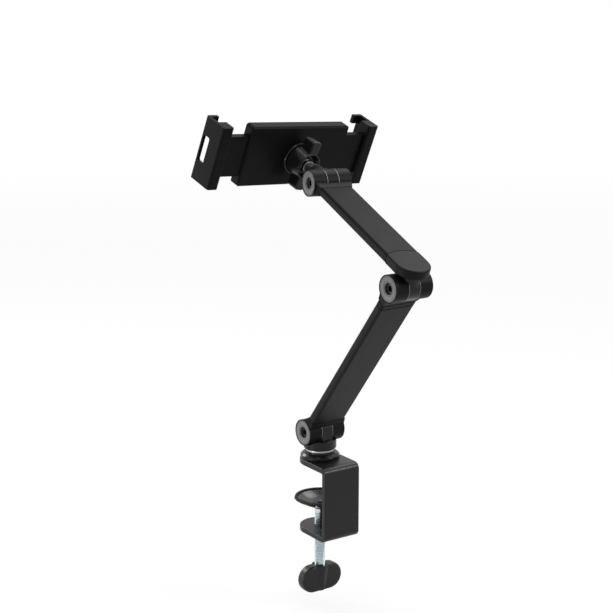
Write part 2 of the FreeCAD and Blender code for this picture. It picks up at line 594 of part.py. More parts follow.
def screw_pair(tag, along):
    """Two small screws in the front face of an arm."""
    pieces = []
    for name, side in (("_a", ""), ("_b", "-")):
        at_x = f"{side}screw_side"
        face = "-arm_thickness / 2"
        head = rod(tag + name + "_head", "screw_head", "head_height", (at_x, face, along), "Y")
        thread = rod(tag + name + "_thread", "screw_small", "arm_thickness * 0.6", (at_x, face, along), "Y")
        pieces.append(fuse(tag + name, [head, thread]))
    return pieces


def screw_holes(tag, along):
    holes = []
    for name, side in (("_a", ""), ("_b", "-")):
        at_x = f"{side}screw_side"
        face = "-arm_thickness / 2 - 1"
        start = (at_x, face, along)
        holes.append(rod(tag + name + "_head", "screw_head", "head_height + 1", start, "Y"))
        holes.append(rod(tag + name + "_thread", "screw_small", "arm_thickness * 0.6 + 1", start, "Y"))
    return holes


def turned_over(name, shapes):
    """The shapes as one tool, mirrored to the other wide face."""
    obj = doc.addObject("Part::Mirroring", name)
    obj.Source = fuse(name + "_all", shapes)
    obj.Normal = (0, 1, 0)
    return obj


def hinge_bolt(tag, along):
    seat = "(barrel_half - disc_height - pin_head_height)"
    head = rod(tag + "_head", "pin_head", "pin_head_height - 0.3", (seat, 0, along), "X")
    shank = rod(tag + "_shank", "pin_radius", f"{seat} + barrel_half - disc_height - 0.3 + 1",
                ("-barrel_half + disc_height + 0.3", 0, along), "X")
    socket = hexagon(tag + "_socket", 5, 10, (f"{seat} + pin_head_height - 0.3 - 3", 0, along), "X")
    return cut(tag, fuse(tag + "_blank", [head, shank]), [socket])


def hinge_nut(tag, along):
    start = ("-barrel_half + disc_height + 0.05", 0, along)
    nut = hexagon(tag + "_hex", "nut_flats", "nut_height", start, "X")
    hole = rod(tag + "_hole", "pin_radius", 40, (-30, 0, along), "X")
    return cut(tag, nut, [hole])


def hinge_washers(tag, along):
    washers = []
    for name, at_x in (("_a", "tongue_half + touch_gap"), ("_b", "-tongue_half - touch_gap - spacer")):
        ring = rod(tag + name + "_ring", "barrel_radius + spacer_proud", "spacer", (at_x, 0, along), "X")
        hole = rod(tag + name + "_hole", "pin_radius + fit_gap", 3, (f"{at_x} - 1", 0, along), "X")
        washers.append(cut(tag + name, ring, [hole]))
    return washers


def hinge_ring(tag, along):
    start = ("barrel_half - disc_height", 0, along)
    ring = rod(tag + "_disc", "disc_radius", "disc_height - 0.2", start, "X")
    hole = rod(tag + "_hole", "disc_hole", 10, ("barrel_half - 6", 0, along), "X")
    return cut(tag, ring, [hole])


def hinge_cap(tag, along):
    return rod(tag, "disc_radius", "disc_height - 0.2", ("-barrel_half + 0.2", 0, along), "X")


# Lower arm

def arm_section(tag, width, low, high):
    """A rounded flat tube between two heights along the arm."""
    outer = block(tag + "_outer", (f"-{width} / 2", f"{width} / 2"),
                  ("-arm_thickness / 2", "arm_thickness / 2"), (low, high))
    outer = dress("Fillet", tag + "_soft", outer, SIZE["arm_edge"],
                  lambda edge: is_line_along(edge, Z_AXIS))
    inside_x = f"({width} / 2 - arm_wall)"
    inside_y = "(arm_thickness / 2 - arm_wall)"
    hollow = block(tag + "_hollow", (f"-{inside_x}", inside_x), (f"-{inside_y}", inside_y),
                   (f"{low} - 5", f"{high} + 5"))
    return outer, hollow


def lower_arm():
    foot_screws = "(fork_reach + plug_length / 2)"
    head_screws = "(lower_length - fork_reach - collar_height - plug_length / 2)"
    foot = cut("lower_foot_solid", fork("lower_foot", "lower_width"),
               fork_holes("lower_foot") + screw_holes("lower_foot_screws", foot_screws))
    keep(foot, "lower_arm_foot", LOWER)
    # The upper fork is built upside down, so its screws lie on the other side
    top_screws = "(fork_reach + collar_height + plug_length / 2)"
    holes = screw_holes("lower_head_screws", top_screws)
    head = cut("lower_head_solid", fork("lower_head", "lower_width", "collar_height"),
               fork_holes("lower_head") + [turned_over("lower_head_screw_holes", holes)])
    keep(head, "lower_arm_head", LOWER_TOP)
    tube_end = "(lower_length - fork_reach - collar_height)"
    outer, hollow = arm_section("lower_tube", "lower_width", "fork_reach + seam_gap", tube_end)
    tube = cut("lower_tube_solid", outer, [hollow] + screw_holes("lower_tube_low", foot_screws)
               + screw_holes("lower_tube_high", head_screws))
    keep(tube, "lower_arm_tube", LOWER)
    outer, hollow = arm_section("collar", "(lower_width + 0.4)", f"({tube_end} + seam_gap)",
                                f"({tube_end} + collar_height - seam_gap)")
    keep(cut("collar_solid", outer, [hollow]), "lower_arm_collar", LOWER)
    screws = screw_pair("lower_screw_low", foot_screws) + screw_pair("lower_screw_high", head_screws)
    group("lower_arm_screws", screws, LOWER)
    ends = (("low", "0"), ("high", "lower_length"))
    group("arm_bolts", [hinge_bolt("arm_bolt_" + tag, at) for tag, at in ends], LOWER)
    group("arm_nuts", [hinge_nut("arm_nut_" + tag, at) for tag, at in ends], LOWER)
    group("arm_washers", [w for tag, at in ends for w in hinge_washers("arm_washer_" + tag, at)], LOWER)
    group("arm_rings", [hinge_ring("arm_ring_" + tag, at) for tag, at in ends], LOWER)
    group("arm_caps", [hinge_cap("arm_cap_" + tag, at) for tag, at in ends], LOWER)


# Elbow

def elbow_boss():
    top = "(elbow_rise - arm_thickness / 2 - boss_washer_height - touch_gap)"
    column = rod("boss_column", "boss_radius", top, (0, 0, 0))
    blank = fuse("boss_blank", [column, rod("boss_spigot", "spigot_radius", "spigot_end - 5", (0, 0, 5))])
    open_boss = cut("boss_open", blank, saddle_room("boss_room", 0))
    solid = fuse("boss_solid", [open_boss, tongue("boss_tongue", 0)])
    clip_low = "(elbow_rise - arm_thickness / 2 + cap_floor + 0.1)"
    ring = rod("boss_groove_ring", 20, "clip_height + 0.05", (0, 0, clip_low))
    core = rod("boss_groove_core", "groove_radius", 6, (0, 0, f"{clip_low} - 2"))
    groove = cut("boss_groove", ring, [core])
    keep(cut("elbow_boss_solid", solid, [groove, pin_bore("boss_bore", 0, "run_gap")]), "elbow_boss", BOSS)
    washer = rod("boss_washer_ring", "boss_radius", "boss_washer_height", (0, 0, f"{top} + touch_gap / 2"))
    hole = rod("boss_washer_hole", "spigot_radius + run_gap", 5, (0, 0, f"{top} - 2"))
    keep(cut("boss_washer_solid", washer, [hole]), "boss_washer", BOSS)
    clip = rod("boss_clip_ring", "cap_room - 1", "clip_height", (0, 0, f"{clip_low} + 0.02"))
    clip_hole = rod("boss_clip_hole", "groove_radius + fit_gap", 5, (0, 0, f"{clip_low} - 1"))
    mouth = block("boss_clip_mouth", ("-groove_radius * 0.8", "groove_radius * 0.8"), ("0", "cap_room + 1"),
                  (f"{clip_low} - 1", f"{clip_low} + 3"))
    keep(cut("boss_clip_solid", clip, [clip_hole, mouth]), "boss_clip", BOSS)


# Upper arm

SEAM_CENTRE = "(cap_seam - seam_radius)"


def upper_arm():
    face = "(-arm_thickness / 2)"
    low_screws = "(cap_plug_end - plug_length / 4)"
    high_screws = "(upper_length - fork_reach - plug_length / 2)"
    end_disc = rod("cap_end", "upper_width / 2", "arm_thickness", (0, face, 0), "Y")
    straight = block("cap_block", ("-upper_width / 2", "upper_width / 2"), (face, "arm_thickness / 2"),
                     ("0", "cap_seam + 2"))
    blank = fuse("cap_blank", [end_disc, straight])
    flat = SIZE["arm_thickness"] / 2
    blank = dress("Fillet", "cap_soft", blank, 1.6,
                  lambda edge: abs(edge.BoundBox.YMin - edge.BoundBox.YMax) < 1e-6
                  and abs(abs(edge.CenterOfMass.y) - flat) < 0.01 and not is_line_along(edge, X_AXIS))
    seam = rod("cap_seam_rod", "seam_radius", "arm_thickness + 4", (0, f"{face} - 2", SEAM_CENTRE), "Y")
    shaped = common("cap_shaped", blank, seam)
    plug_x = "(upper_width / 2 - arm_wall - fit_gap)"
    plug_y = "(arm_thickness / 2 - arm_wall - fit_gap)"
    plug = block("cap_plug", (f"-{plug_x}", plug_x), (f"-{plug_y}", plug_y), ("10", "cap_plug_end"))
    floor = f"({face} + cap_floor)"
    room = block("cap_room_low", ("-cap_room", "cap_room"), (floor, "arm_thickness / 2 - 2.35"),
                 ("-cap_room + 0.5", "cap_plug_end + 1"))
    slot = block("cap_room_high", ("-cap_room", "cap_room"), (floor, "arm_thickness / 2 - 1"),
                 ("cap_seam - 5", "cap_plug_end + 1"))
    bore = rod("cap_bore", "spigot_radius + run_gap", 6, (0, f"{face} - 1", 0), "Y")
    side_screws = screw_holes("cap_screws", low_screws)
    cap = cut("cap_solid", fuse("cap_joined", [shaped, plug]), [room, slot, bore] + side_screws)
    keep(cap, "upper_arm_cap", UPPER)
    tube_end = "(upper_length - fork_reach - seam_gap)"
    outer, hollow = arm_section("upper_tube", "upper_width", "5", tube_end)
    seam_room = rod("tube_seam_rod", "seam_radius + seam_gap", "arm_thickness + 4",
                    (0, f"{face} - 2", SEAM_CENTRE), "Y")
    tube = cut("upper_tube_solid", outer, [hollow, seam_room] + screw_holes("upper_tube_low", low_screws)
               + screw_holes("upper_tube_high", high_screws))
    keep(tube, "upper_arm_tube", UPPER)
    holes = screw_holes("upper_head_screws", "(fork_reach + plug_length / 2)")
    tools = fork_holes("upper_head") + [turned_over("upper_head_screw_holes", holes)]
    keep(cut("upper_head_solid", fork("upper_head", "upper_width"), tools), "upper_arm_head", UPPER_TOP)
    screws = screw_pair("upper_screw_low", low_screws) + screw_pair("upper_screw_high", high_screws)
    group("upper_arm_screws", screws, UPPER)
    at = "upper_length"
    keep(hinge_bolt("upper_bolt_solid", at), "upper_bolt", UPPER)
    keep(hinge_nut("upper_nut_solid", at), "upper_nut", UPPER)
    group("upper_washers", hinge_washers("upper_washer", at), UPPER)
    keep(hinge_ring("upper_ring_solid", at), "upper_ring", UPPER)
    group("upper_cap", [hinge_cap("upper_cap_solid", at)], UPPER)


# Head

def head_knuckle():
    link = block("head_link", ("-tongue_half", "tongue_half"), ("-head_boss", "head_boss"),
                 ("0", f"{SADDLE} + 1"))
    boss = rod("head_boss_rod", "head_boss", f"stud_start - {SADDLE} - 0.2", (0, 0, f"{SADDLE} + 0.2"))
    blank = fuse("head_blank", [link, boss, tongue("head_tongue", 0)])
    thread = rod("head_thread", "bolt_radius", "stud_start", (0, 0, "barrel_radius"))
    bore = pin_bore("head_bore", 0, "run_gap")
    keep(cut("head_knuckle_solid", blank, [bore, thread]), "head_knuckle", HEAD)
    collar = rod("stud_collar_rod", "stud_collar", "collar_length",
                 (0, 0, "stud_length - ball_radius - collar_length"))
    collar = dress("Fillet", "stud_collar_soft", collar, SIZE["collar_round"],
                   lambda edge: len(edge.Vertexes) == 1)
    pieces = [
        collar,
        rod("stud_thread", "bolt_radius", "stud_start - barrel_radius", (0, 0, "barrel_radius + 1")),
        rod("stud_flange_rod", "stud_flange", 2.5, (0, 0, "stud_start")),
        cone("stud_cone", "stud_flange", "stud_radius", 2, (0, 0, "stud_start + 2.5")),
        rod("stud_rod", "stud_radius", "stud_length - stud_start - 2", (0, 0, "stud_start + 2")),
        ball("stud_ball", "ball_radius", (0, 0, "stud_length")),
    ]
    keep(fuse("ball_stud_solid", pieces), "ball_stud", HEAD)


SOCKET_BALL = "(ball_radius + run_gap + liner_wall + run_gap)"


def liner(label, low, high):
    """A band of the nylon shell between the ball and its socket."""
    outer = ball(label + "_outer", "ball_radius + run_gap + liner_wall")
    inner = ball(label + "_inner", "ball_radius + run_gap")
    shell = cut(label + "_shell", outer, [inner])
    band = rod(label + "_band", 30, f"({high}) - ({low})", (0, low, 0), "Y")
    keep(common(label + "_solid", shell, band), label, HOLDER)


def socket_screw_places():
    return [(f"{a}flange_radius * 0.51", f"{b}flange_radius * 0.51") for a in ("", "-") for b in ("", "-")]


def ball_socket():
    flange = rod("socket_flange", "flange_radius", "socket_back - flange_top", (0, "-socket_back", 0), "Y")
    top = -SIZE["flange_top"]
    flange = dress("Fillet", "socket_flange_soft", flange, 1.5,
                   lambda edge: abs(edge.CenterOfMass.y - top) < 0.01 and len(edge.Vertexes) == 1)
    collar = rod("socket_collar", "socket_radius", "flange_top + socket_mouth + 1",
                 (0, "-flange_top - 1", 0), "Y")
    blank = fuse("socket_blank", [flange, collar])
    tools = [ball("socket_room", SOCKET_BALL)]
    tools.append(block("socket_slit_a", ("-30", "30"), ("-3", "socket_mouth + 1"), ("-1", "1")))
    tools.append(block("socket_slit_b", ("-1", "1"), ("-3", "socket_mouth + 1"), ("-30", "30")))
    for i, (x, z) in enumerate(socket_screw_places()):
        tools.append(rod(f"socket_screw_hole_{i}", "screw_small", "socket_back - flange_top - 1.5",
                         (x, "-socket_back - 1", z), "Y"))
    keep(cut("ball_socket_solid", blank, tools), "ball_socket", HOLDER)


def wing_nut():
    low = "(flange_top - 1)"
    hub = cone("nut_hub_cone", "nut_hub", "nut_rear", f"nut_end + {low}", (0, f"-{low}", 0), "Y")
    hub = dress("Fillet", "nut_hub_soft", hub, 0.8, lambda edge: len(edge.Vertexes) == 1)
    face = "(nut_end - 0.5 - wing_thickness)"
    plate = block("wings", ("-wing_half", "wing_half"), (face, f"{face} + wing_thickness"),
                  ("-wing_reach", "wing_reach"))
    plate = dress("Fillet", "wing_tips_soft", plate, SIZE["wing_round"],
                  lambda edge: is_line_along(edge, Y_AXIS))
    plate = dress("Fillet", "wings_soft", plate, SIZE["wing_edge"],
                  lambda edge: abs(edge.BoundBox.YMin - edge.BoundBox.YMax) < 1e-6)
    blank = fuse("nut_blank", [hub, plate])
    step = "(socket_mouth + 0.4)"
    tools = [
        rod("nut_thread", "socket_radius + run_gap", f"{low} + {step} + 1", (0, f"-{low} - 1", 0), "Y"),
        cone("nut_mouth", "ball_radius + 0.3", "nut_rear - nut_lip", f"nut_end - {step} + 0.02",
             (0, f"{step} - 0.01", 0), "Y"),
    ]
    turned_nut = HOLDER.multiply(frame(FreeCAD.Vector(), (Y_AXIS, SIZE["nut_turn"])))
    keep(cut("wing_nut_solid", blank, tools), "wing_nut", turned_nut)


# Holder: Y points to the rear, the ball's centre is the origin

SHELL_FRONT = "(-socket_back - shell_depth)"
COVER_FRONT = "(-socket_back - shell_depth - cover_thickness)"
TABLET_BACK = "(-socket_back - shell_depth - cover_thickness - grip_pad)"
BEVEL_FRONT = "(-socket_back - bevel_depth)"
BAR_ROOM = "(-bar_front + bar_depth + free_gap - 0.1)"
HOLDER_SCREWS = [(a, b) for a in ("", "-") for b in ("", "-")]


def holder_shell():
    base = block("shell_base", ("-shell_half", "shell_half"), (SHELL_FRONT, BEVEL_FRONT),
                 ("-shell_rise", "shell_rise"))
    bevel = taper("shell_bevel", BEVEL_FRONT, "-socket_back", ("shell_half", "shell_rise"),
                  ("shell_half - bevel_end", "shell_rise - bevel_side"))
    outline = block("shell_outline", ("-shell_half", "shell_half"), (SHELL_FRONT, "-socket_back"),
                    ("-shell_rise", "shell_rise"))
    outline = dress("Fillet", "shell_rounded", outline, SIZE["shell_corner"],
                    lambda edge: is_line_along(edge, Y_AXIS))
    blank = common("shell_blank", fuse("shell_square", [base, bevel]), outline)
    rise = "(bar_rise + free_gap)"
    channel = block("shell_channel", ("-shell_half - 1", "shell_half + 1"),
                    (f"{SHELL_FRONT} - 1", BAR_ROOM), (f"-{rise}", rise))
    tools = [channel]
    for i, (x, z) in enumerate(socket_screw_places()):
        tools.append(rod(f"shell_screw_{i}", "screw_small + fit_gap", 6, (x, "-socket_back - 4", z), "Y"))
    for i, (a, b) in enumerate(HOLDER_SCREWS):
        tools.append(rod(f"shell_case_screw_{i}", "screw_small", 7,
                         (f"{a}(shell_half - case_screw_inset)", f"{SHELL_FRONT} - 1",
                          f"{b}(shell_rise - case_screw_inset)"), "Y"))
    open_shell = cut("shell_open", blank, tools)
    post = rod("axle_post", "screw_head", f"bar_front - rack_depth - 0.3 + {BAR_ROOM} + 0.5",
               (0, "-bar_front + rack_depth + 0.3", 0), "Y")
    axle_hole = rod("axle_hole", "screw_small", "socket_back", (0, "-bar_front - 2", 0), "Y")
    posted = fuse("shell_posted", [open_shell, post])
    keep(cut("holder_back_solid", posted, [axle_hole]), "holder_back", HOLDER)


def holder_cover():
    cover = block("cover_plate", ("-shell_half", "shell_half"), (COVER_FRONT, SHELL_FRONT),
                  ("-shell_rise", "shell_rise"))
    cover = dress("Fillet", "cover_rounded", cover, SIZE["shell_corner"],
                  lambda edge: is_line_along(edge, Y_AXIS))
    cover_holes = []
    screws = []
    for i, (a, b) in enumerate(HOLDER_SCREWS):
        at_x = f"{a}(shell_half - case_screw_inset)"
        at_z = f"{b}(shell_rise - case_screw_inset)"
        before = (at_x, f"{COVER_FRONT} - 1", at_z)
        cover_holes.append(rod(f"cover_hole_{i}", "screw_small", 6, before, "Y"))
        cover_holes.append(rod(f"cover_sink_{i}", "screw_head", "1 + head_height", before, "Y"))
        face = (at_x, COVER_FRONT, at_z)
        head = rod(f"holder_screw_head_{i}", "screw_head", "head_height", face, "Y")
        thread = rod(f"holder_screw_thread_{i}", "screw_small", 7, face, "Y")
        screws.append(fuse(f"holder_screw_{i}", [head, thread]))
    keep(cut("cover_solid", cover, cover_holes), "holder_front", HOLDER)
    group("holder_screws", screws, HOLDER)
    depth = (TABLET_BACK, COVER_FRONT)
    rise = ("-front_pad_rise", "front_pad_rise")
    near = "shell_half / 2"
    pads = [block("front_pad_a", (near, f"{near} + front_pad_length"), depth, rise),
            block("front_pad_b", (f"-{near} - front_pad_length", f"-{near}"), depth, rise)]
    group("front_pads", pads, HOLDER)


def socket_screws():
    screws = []
    for i, (x, z) in enumerate(socket_screw_places()):
        head = rod(f"socket_screw_head_{i}", "screw_head", 1.6, (x, f"{BAR_ROOM} - 1.6", z), "Y")
        thread = rod(f"socket_screw_thread_{i}", "screw_small", f"-{BAR_ROOM} - flange_top - 3",
                     (x, f"{BAR_ROOM} - 0.1", z), "Y")
        screws.append(fuse(f"socket_screw_{i}", [head, thread]))
    group("socket_screws", screws, HOLDER)


def pinion():
    front = "(-bar_front + 0.2)"
    wheel = rod("pinion_wheel", "pinion_radius", "rack_depth - 0.2", (0, front, 0), "Y")
    tools = [rod("pinion_bore", "screw_small + run_gap", 10, (0, "-bar_front - 2", 0), "Y")]
    for i in range(10):
        x, z = cos(radians(36 * i)), sin(radians(36 * i))
        tools.append(rod(f"pinion_gap_{i}", "tooth_notch", 10,
                         (f"pinion_radius * {x:.6f}", "-bar_front - 2", f"pinion_radius * {z:.6f}"), "Y"))
    keep(cut("pinion_solid", wheel, tools), "pinion", HOLDER)
    head = rod("axle_head", "screw_head", 0.35, (0, "-bar_front - 0.25", 0), "Y")
    stem = rod("axle_stem", "screw_small", 6.5, (0, "-bar_front - 0.1", 0), "Y")
    keep(fuse("pinion_axle_solid", [head, stem]), "pinion_axle", HOLDER)


JAW_INNER = "(jaw_outer - jaw_width)"


def sliding_bar(side, placement):
    """A bar that slides in the shell, with its rack over the pinion and a slot for the other bar's rack."""
    tag = side + "_bar_"
    front = "(-bar_front)"
    rise = ("-bar_rise", "bar_rise")
    thin = block(tag + "thin", ("bar_inner", "bar_step + 1"), (front, f"{front} + rack_depth"), rise)
    thick = block(tag + "thick", ("bar_step", f"{JAW_INNER} + jaw_joint"),
                  (front, f"{front} + bar_depth"), rise)
    rack = block(tag + "rack", ("-rack_end", "bar_inner + 1"), (front, f"{front} + rack_depth"),
                 ("rack_near", "rack_near + rack_width"))
    blank = fuse(tag + "blank", [thin, thick, rack])
    tools = [block(tag + "slot", ("bar_inner - 1", "rack_slot_end"),
                   (f"{front} - 1", f"{front} + rack_depth + 0.3"),
                   ("-rack_near - rack_width - 0.6", "-rack_near + 0.6"))]
    for i in range(14):
        tools.append(rod(f"{tag}tooth_{i}", "tooth_notch", 10,
                         (f"-rack_end + 2 + {i} * tooth_pitch", "-bar_front - 2", "rack_near"), "Y"))
    for name, z in (("a", "jaw_screw_rise"), ("b", "-jaw_screw_rise")):
        start = (f"{JAW_INNER} + jaw_joint / 2", "-bar_front - 1", z)
        tools.append(rod(tag + "screw_hole_" + name, "screw_small", 5.5, start, "Y"))
    keep(cut(tag + "solid", blank, tools), side + "_bar", placement)


def jaw(side, placement):
    """A hook that holds one edge of the tablet."""
    tag = side + "_jaw_"
    rear = "(-jaw_back)"
    pocket_back = COVER_FRONT
    pocket_front = f"({TABLET_BACK} - tablet_gap)"
    lip = f"({pocket_front} - lip_thickness)"
    full = ("-jaw_rise", "jaw_rise")
    body = block(tag + "body", (JAW_INNER, "jaw_outer"), (pocket_back, rear), full)
    wall = block(tag + "wall", ("jaw_outer - jaw_wall", "jaw_outer"), (lip, rear), full)
    across = (JAW_INNER, "jaw_outer")
    fingers = [
        block(tag + "finger_a", across, (lip, pocket_front), ("finger_gap", "jaw_rise")),
        block(tag + "finger_b", across, (lip, pocket_front), ("-jaw_rise", "-finger_gap")),
    ]
    blank = fuse(tag + "blank", [body, wall] + fingers)

    def rounded_edge(edge):
        outside = abs(edge.CenterOfMass.x - SIZE["jaw_outer"]) < 0.01
        behind = abs(edge.CenterOfMass.y + SIZE["jaw_back"]) < 0.01
        return is_line_along(edge, Z_AXIS) and (outside or behind)

    blank = dress("Fillet", tag + "soft", blank, SIZE["jaw_round"], rounded_edge)
    slot = block(tag + "slot", ("jaw_outer - jaw_wall - 0.01", "jaw_outer + 1"),
                 (f"{pocket_front} - 0.5", f"{pocket_back} - 2.5"), ("-slot_bottom", "slot_top"))
    slot = dress("Fillet", tag + "slot_ends", slot, SIZE["slot_round"],
                 lambda edge: is_line_along(edge, X_AXIS))
    tools = [
        slot,
        block(tag + "bar_room", (f"{JAW_INNER} - 1", f"{JAW_INNER} + jaw_joint + 0.1"),
              ("-bar_front - 0.1", "-bar_front + bar_depth + 0.1"), ("-bar_rise - 0.1", "bar_rise + 0.1")),
    ]
    screws = []
    for name, z in (("a", "jaw_screw_rise"), ("b", "-jaw_screw_rise")):
        at_x = f"{JAW_INNER} + jaw_joint / 2"
        before = (at_x, f"{pocket_back} - 1", z)
        tools.append(rod(f"{tag}hole_{name}", "screw_small", 6, before, "Y"))
        tools.append(rod(f"{tag}sink_{name}", "screw_head", "1 + head_height", before, "Y"))
        head = rod(f"{side}_screw_head_{name}", "screw_head", "head_height", (at_x, pocket_back, z), "Y")
        thread = rod(f"{side}_screw_thread_{name}", "screw_small", 6.5, (at_x, pocket_back, z), "Y")
        screws.append(fuse(f"{side}_screw_{name}", [head, thread]))
    keep(cut(tag + "solid", blank, tools), side + "_jaw", placement)
    group(side + "_jaw_screws", screws, placement)
    pad = block(side + "_grip", (f"{JAW_INNER} + 0.5", "jaw_outer - jaw_wall - 0.5"),
                (TABLET_BACK, pocket_back), ("-jaw_rise + 2", "jaw_rise - 2"))
    group(side + "_jaw_pad", [pad], placement)


clamp_bracket()
foot_and_washers()
pressure_pad()
clamp_screw()
base_swivel()
lower_arm()
elbow_boss()
upper_arm()
head_knuckle()
liner("liner_front", "-liner_reach", "-liner_edge")
liner("liner_rear", "liner_start", "liner_edge")
ball_socket()
wing_nut()
holder_shell()
holder_cover()
socket_screws()
pinion()
for side, placement in (("left", HOLDER), ("right", RIGHT_SIDE)):
    sliding_bar(side, placement)
    jaw(side, placement)

doc.recompute()
faults = [obj.Name for obj in doc.Objects if "Invalid" in obj.State or "Error" in obj.State]
for node in NODES:
    if node.Shape.isNull() or not node.Shape.isValid() or not node.Shape.Solids:
        faults.append(node.Label)
if faults:
    raise RuntimeError("faulty: " + ", ".join(faults))
os.makedirs("parts", exist_ok=True)
for node in NODES:
    node.Shape.exportStep(f"parts/{node.Label}.step")
    print(f"{node.Label:20s} solids {len(node.Shape.Solids)}  volume {node.Shape.Volume:10.1f}")
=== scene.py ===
import json
import math

import bpy
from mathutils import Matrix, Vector

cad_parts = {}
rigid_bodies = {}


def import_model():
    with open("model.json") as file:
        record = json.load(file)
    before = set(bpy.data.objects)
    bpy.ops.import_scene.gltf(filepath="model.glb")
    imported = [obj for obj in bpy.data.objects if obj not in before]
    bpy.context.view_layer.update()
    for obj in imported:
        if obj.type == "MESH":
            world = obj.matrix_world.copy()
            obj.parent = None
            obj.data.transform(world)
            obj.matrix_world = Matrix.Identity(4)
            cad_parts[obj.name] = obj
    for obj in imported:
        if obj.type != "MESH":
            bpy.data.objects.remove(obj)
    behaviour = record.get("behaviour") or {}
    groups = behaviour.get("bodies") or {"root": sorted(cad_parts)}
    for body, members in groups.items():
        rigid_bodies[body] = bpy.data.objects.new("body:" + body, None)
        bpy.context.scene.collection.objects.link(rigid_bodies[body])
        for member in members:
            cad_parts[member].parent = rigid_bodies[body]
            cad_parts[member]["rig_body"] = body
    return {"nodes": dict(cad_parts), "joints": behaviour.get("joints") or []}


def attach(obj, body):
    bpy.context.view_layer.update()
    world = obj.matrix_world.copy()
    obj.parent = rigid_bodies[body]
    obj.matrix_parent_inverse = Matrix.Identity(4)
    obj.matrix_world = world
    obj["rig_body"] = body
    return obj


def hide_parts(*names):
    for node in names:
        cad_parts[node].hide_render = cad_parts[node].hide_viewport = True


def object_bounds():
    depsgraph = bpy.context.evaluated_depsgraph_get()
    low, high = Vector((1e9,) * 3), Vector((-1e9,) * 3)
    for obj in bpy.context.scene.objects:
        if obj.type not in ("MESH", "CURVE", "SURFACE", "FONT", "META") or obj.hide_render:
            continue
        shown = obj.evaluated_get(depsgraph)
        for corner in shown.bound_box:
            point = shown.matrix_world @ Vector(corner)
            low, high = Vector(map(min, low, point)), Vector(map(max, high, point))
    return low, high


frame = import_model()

cad_low, cad_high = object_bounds()


# Clamp bracket
# A flat steel bar bent twice, so that it hooks over the edge of a desk, with a round nose on both plates.
# It is powder coated black: a fine orange peel, and broken edges where the coat catches the light.

def pick(*pieces):
    """Selects these pieces and nothing else, with the first of them active."""
    bpy.ops.object.select_all(action="DESELECT")
    for piece in pieces:
        piece.select_set(True)
    bpy.context.view_layer.objects.active = pieces[0]


def shown_copy(node):
    """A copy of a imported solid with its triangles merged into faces, which is shown in its place."""
    same_point, same_plane = 0.000005, math.radians(0.5)
    piece = bpy.data.objects.new(node + "_finished", frame["nodes"][node].data.copy())
    bpy.context.collection.objects.link(piece)
    pick(piece)
    bpy.ops.mesh.customdata_custom_splitnormals_clear()
    bpy.ops.object.mode_set(mode="EDIT")
    bpy.ops.mesh.select_all(action="SELECT")
    bpy.ops.mesh.remove_doubles(threshold=same_point)
    bpy.ops.mesh.dissolve_limited(angle_limit=same_plane)
    bpy.ops.object.mode_set(mode="OBJECT")
    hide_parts(node)
    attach(piece, frame["nodes"][node]["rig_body"])
    return piece


def broken_edges(node, width, steps=2):
    """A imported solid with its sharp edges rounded."""
    sharp, smooth = math.radians(30), math.radians(40)
    piece = shown_copy(node)
    rounding = piece.modifiers.new("rounding", "BEVEL")
    rounding.width = width
    rounding.segments = steps
    rounding.limit_method = "ANGLE"
    rounding.angle_limit = sharp
    bpy.ops.object.modifier_apply(modifier=rounding.name)
    bpy.ops.object.shade_smooth_by_angle(angle=smooth)
    flats = piece.modifiers.new("flats", "WEIGHTED_NORMAL")
    flats.keep_sharp = True
    bpy.ops.object.modifier_apply(modifier=flats.name)
    return piece


def coated(name, colour, roughness, grain, relief, metal=0.0, shine=0.5,
           stretch=(1, 1, 1), turn=(0, 0, 0)):
    """A finish whose tone, gloss and relief vary over the surface.

    The grain is per metre and the relief in metres. Stretch draws the grain out along Z, and turn lays that
    direction along the piece.
    """
    mottle, noise_low, noise_high = 45, 0.3, 0.7
    tone_spread, gloss_spread = 0.12, 0.08
    finish = bpy.data.materials.new(name)
    finish.use_nodes = True
    nodes, links = finish.node_tree.nodes, finish.node_tree.links
    surface = nodes["Principled BSDF"]
    surface.inputs["Metallic"].default_value = metal
    surface.inputs["Specular IOR Level"].default_value = shine
    where = nodes.new("ShaderNodeTexCoord")
    lay = nodes.new("ShaderNodeMapping")
    lay.vector_type = "TEXTURE"
    lay.inputs["Scale"].default_value = stretch
    lay.inputs["Rotation"].default_value = turn
    links.new(where.outputs["Object"], lay.inputs["Vector"])
    fine = nodes.new("ShaderNodeTexNoise")
    fine.inputs["Scale"].default_value = grain
    fine.inputs["Detail"].default_value = 3
    links.new(lay.outputs["Vector"], fine.inputs["Vector"])
    broad = nodes.new("ShaderNodeTexNoise")
    broad.inputs["Scale"].default_value = mottle
    broad.inputs["Detail"].default_value = 4
    links.new(where.outputs["Object"], broad.inputs["Vector"])
    tone = nodes.new("ShaderNodeValToRGB")
    tone.color_ramp.elements[0].position = noise_low
    tone.color_ramp.elements[0].color = [c * (1 - tone_spread) for c in colour] + [1]
    tone.color_ramp.elements[1].position = noise_high
    tone.color_ramp.elements[1].color = [c * (1 + tone_spread) for c in colour] + [1]
    links.new(broad.outputs["Fac"], tone.inputs["Fac"])
    links.new(tone.outputs["Color"], surface.inputs["Base Color"])
    gloss = nodes.new("ShaderNodeMapRange")
    gloss.inputs["From Min"].default_value = noise_low
    gloss.inputs["From Max"].default_value = noise_high
    gloss.inputs["To Min"].default_value = roughness * (1 - gloss_spread)
    gloss.inputs["To Max"].default_value = roughness * (1 + gloss_spread)
    links.new(fine.outputs["Fac"], gloss.inputs["Value"])
    links.new(gloss.outputs["Result"], surface.inputs["Roughness"])
    bump = nodes.new("ShaderNodeBump")
    bump.inputs["Distance"].default_value = relief
    bump.inputs["Strength"].default_value = 1
    links.new(fine.outputs["Fac"], bump.inputs["Height"])
    links.new(bump.outputs["Normal"], surface.inputs["Normal"])
    return finish


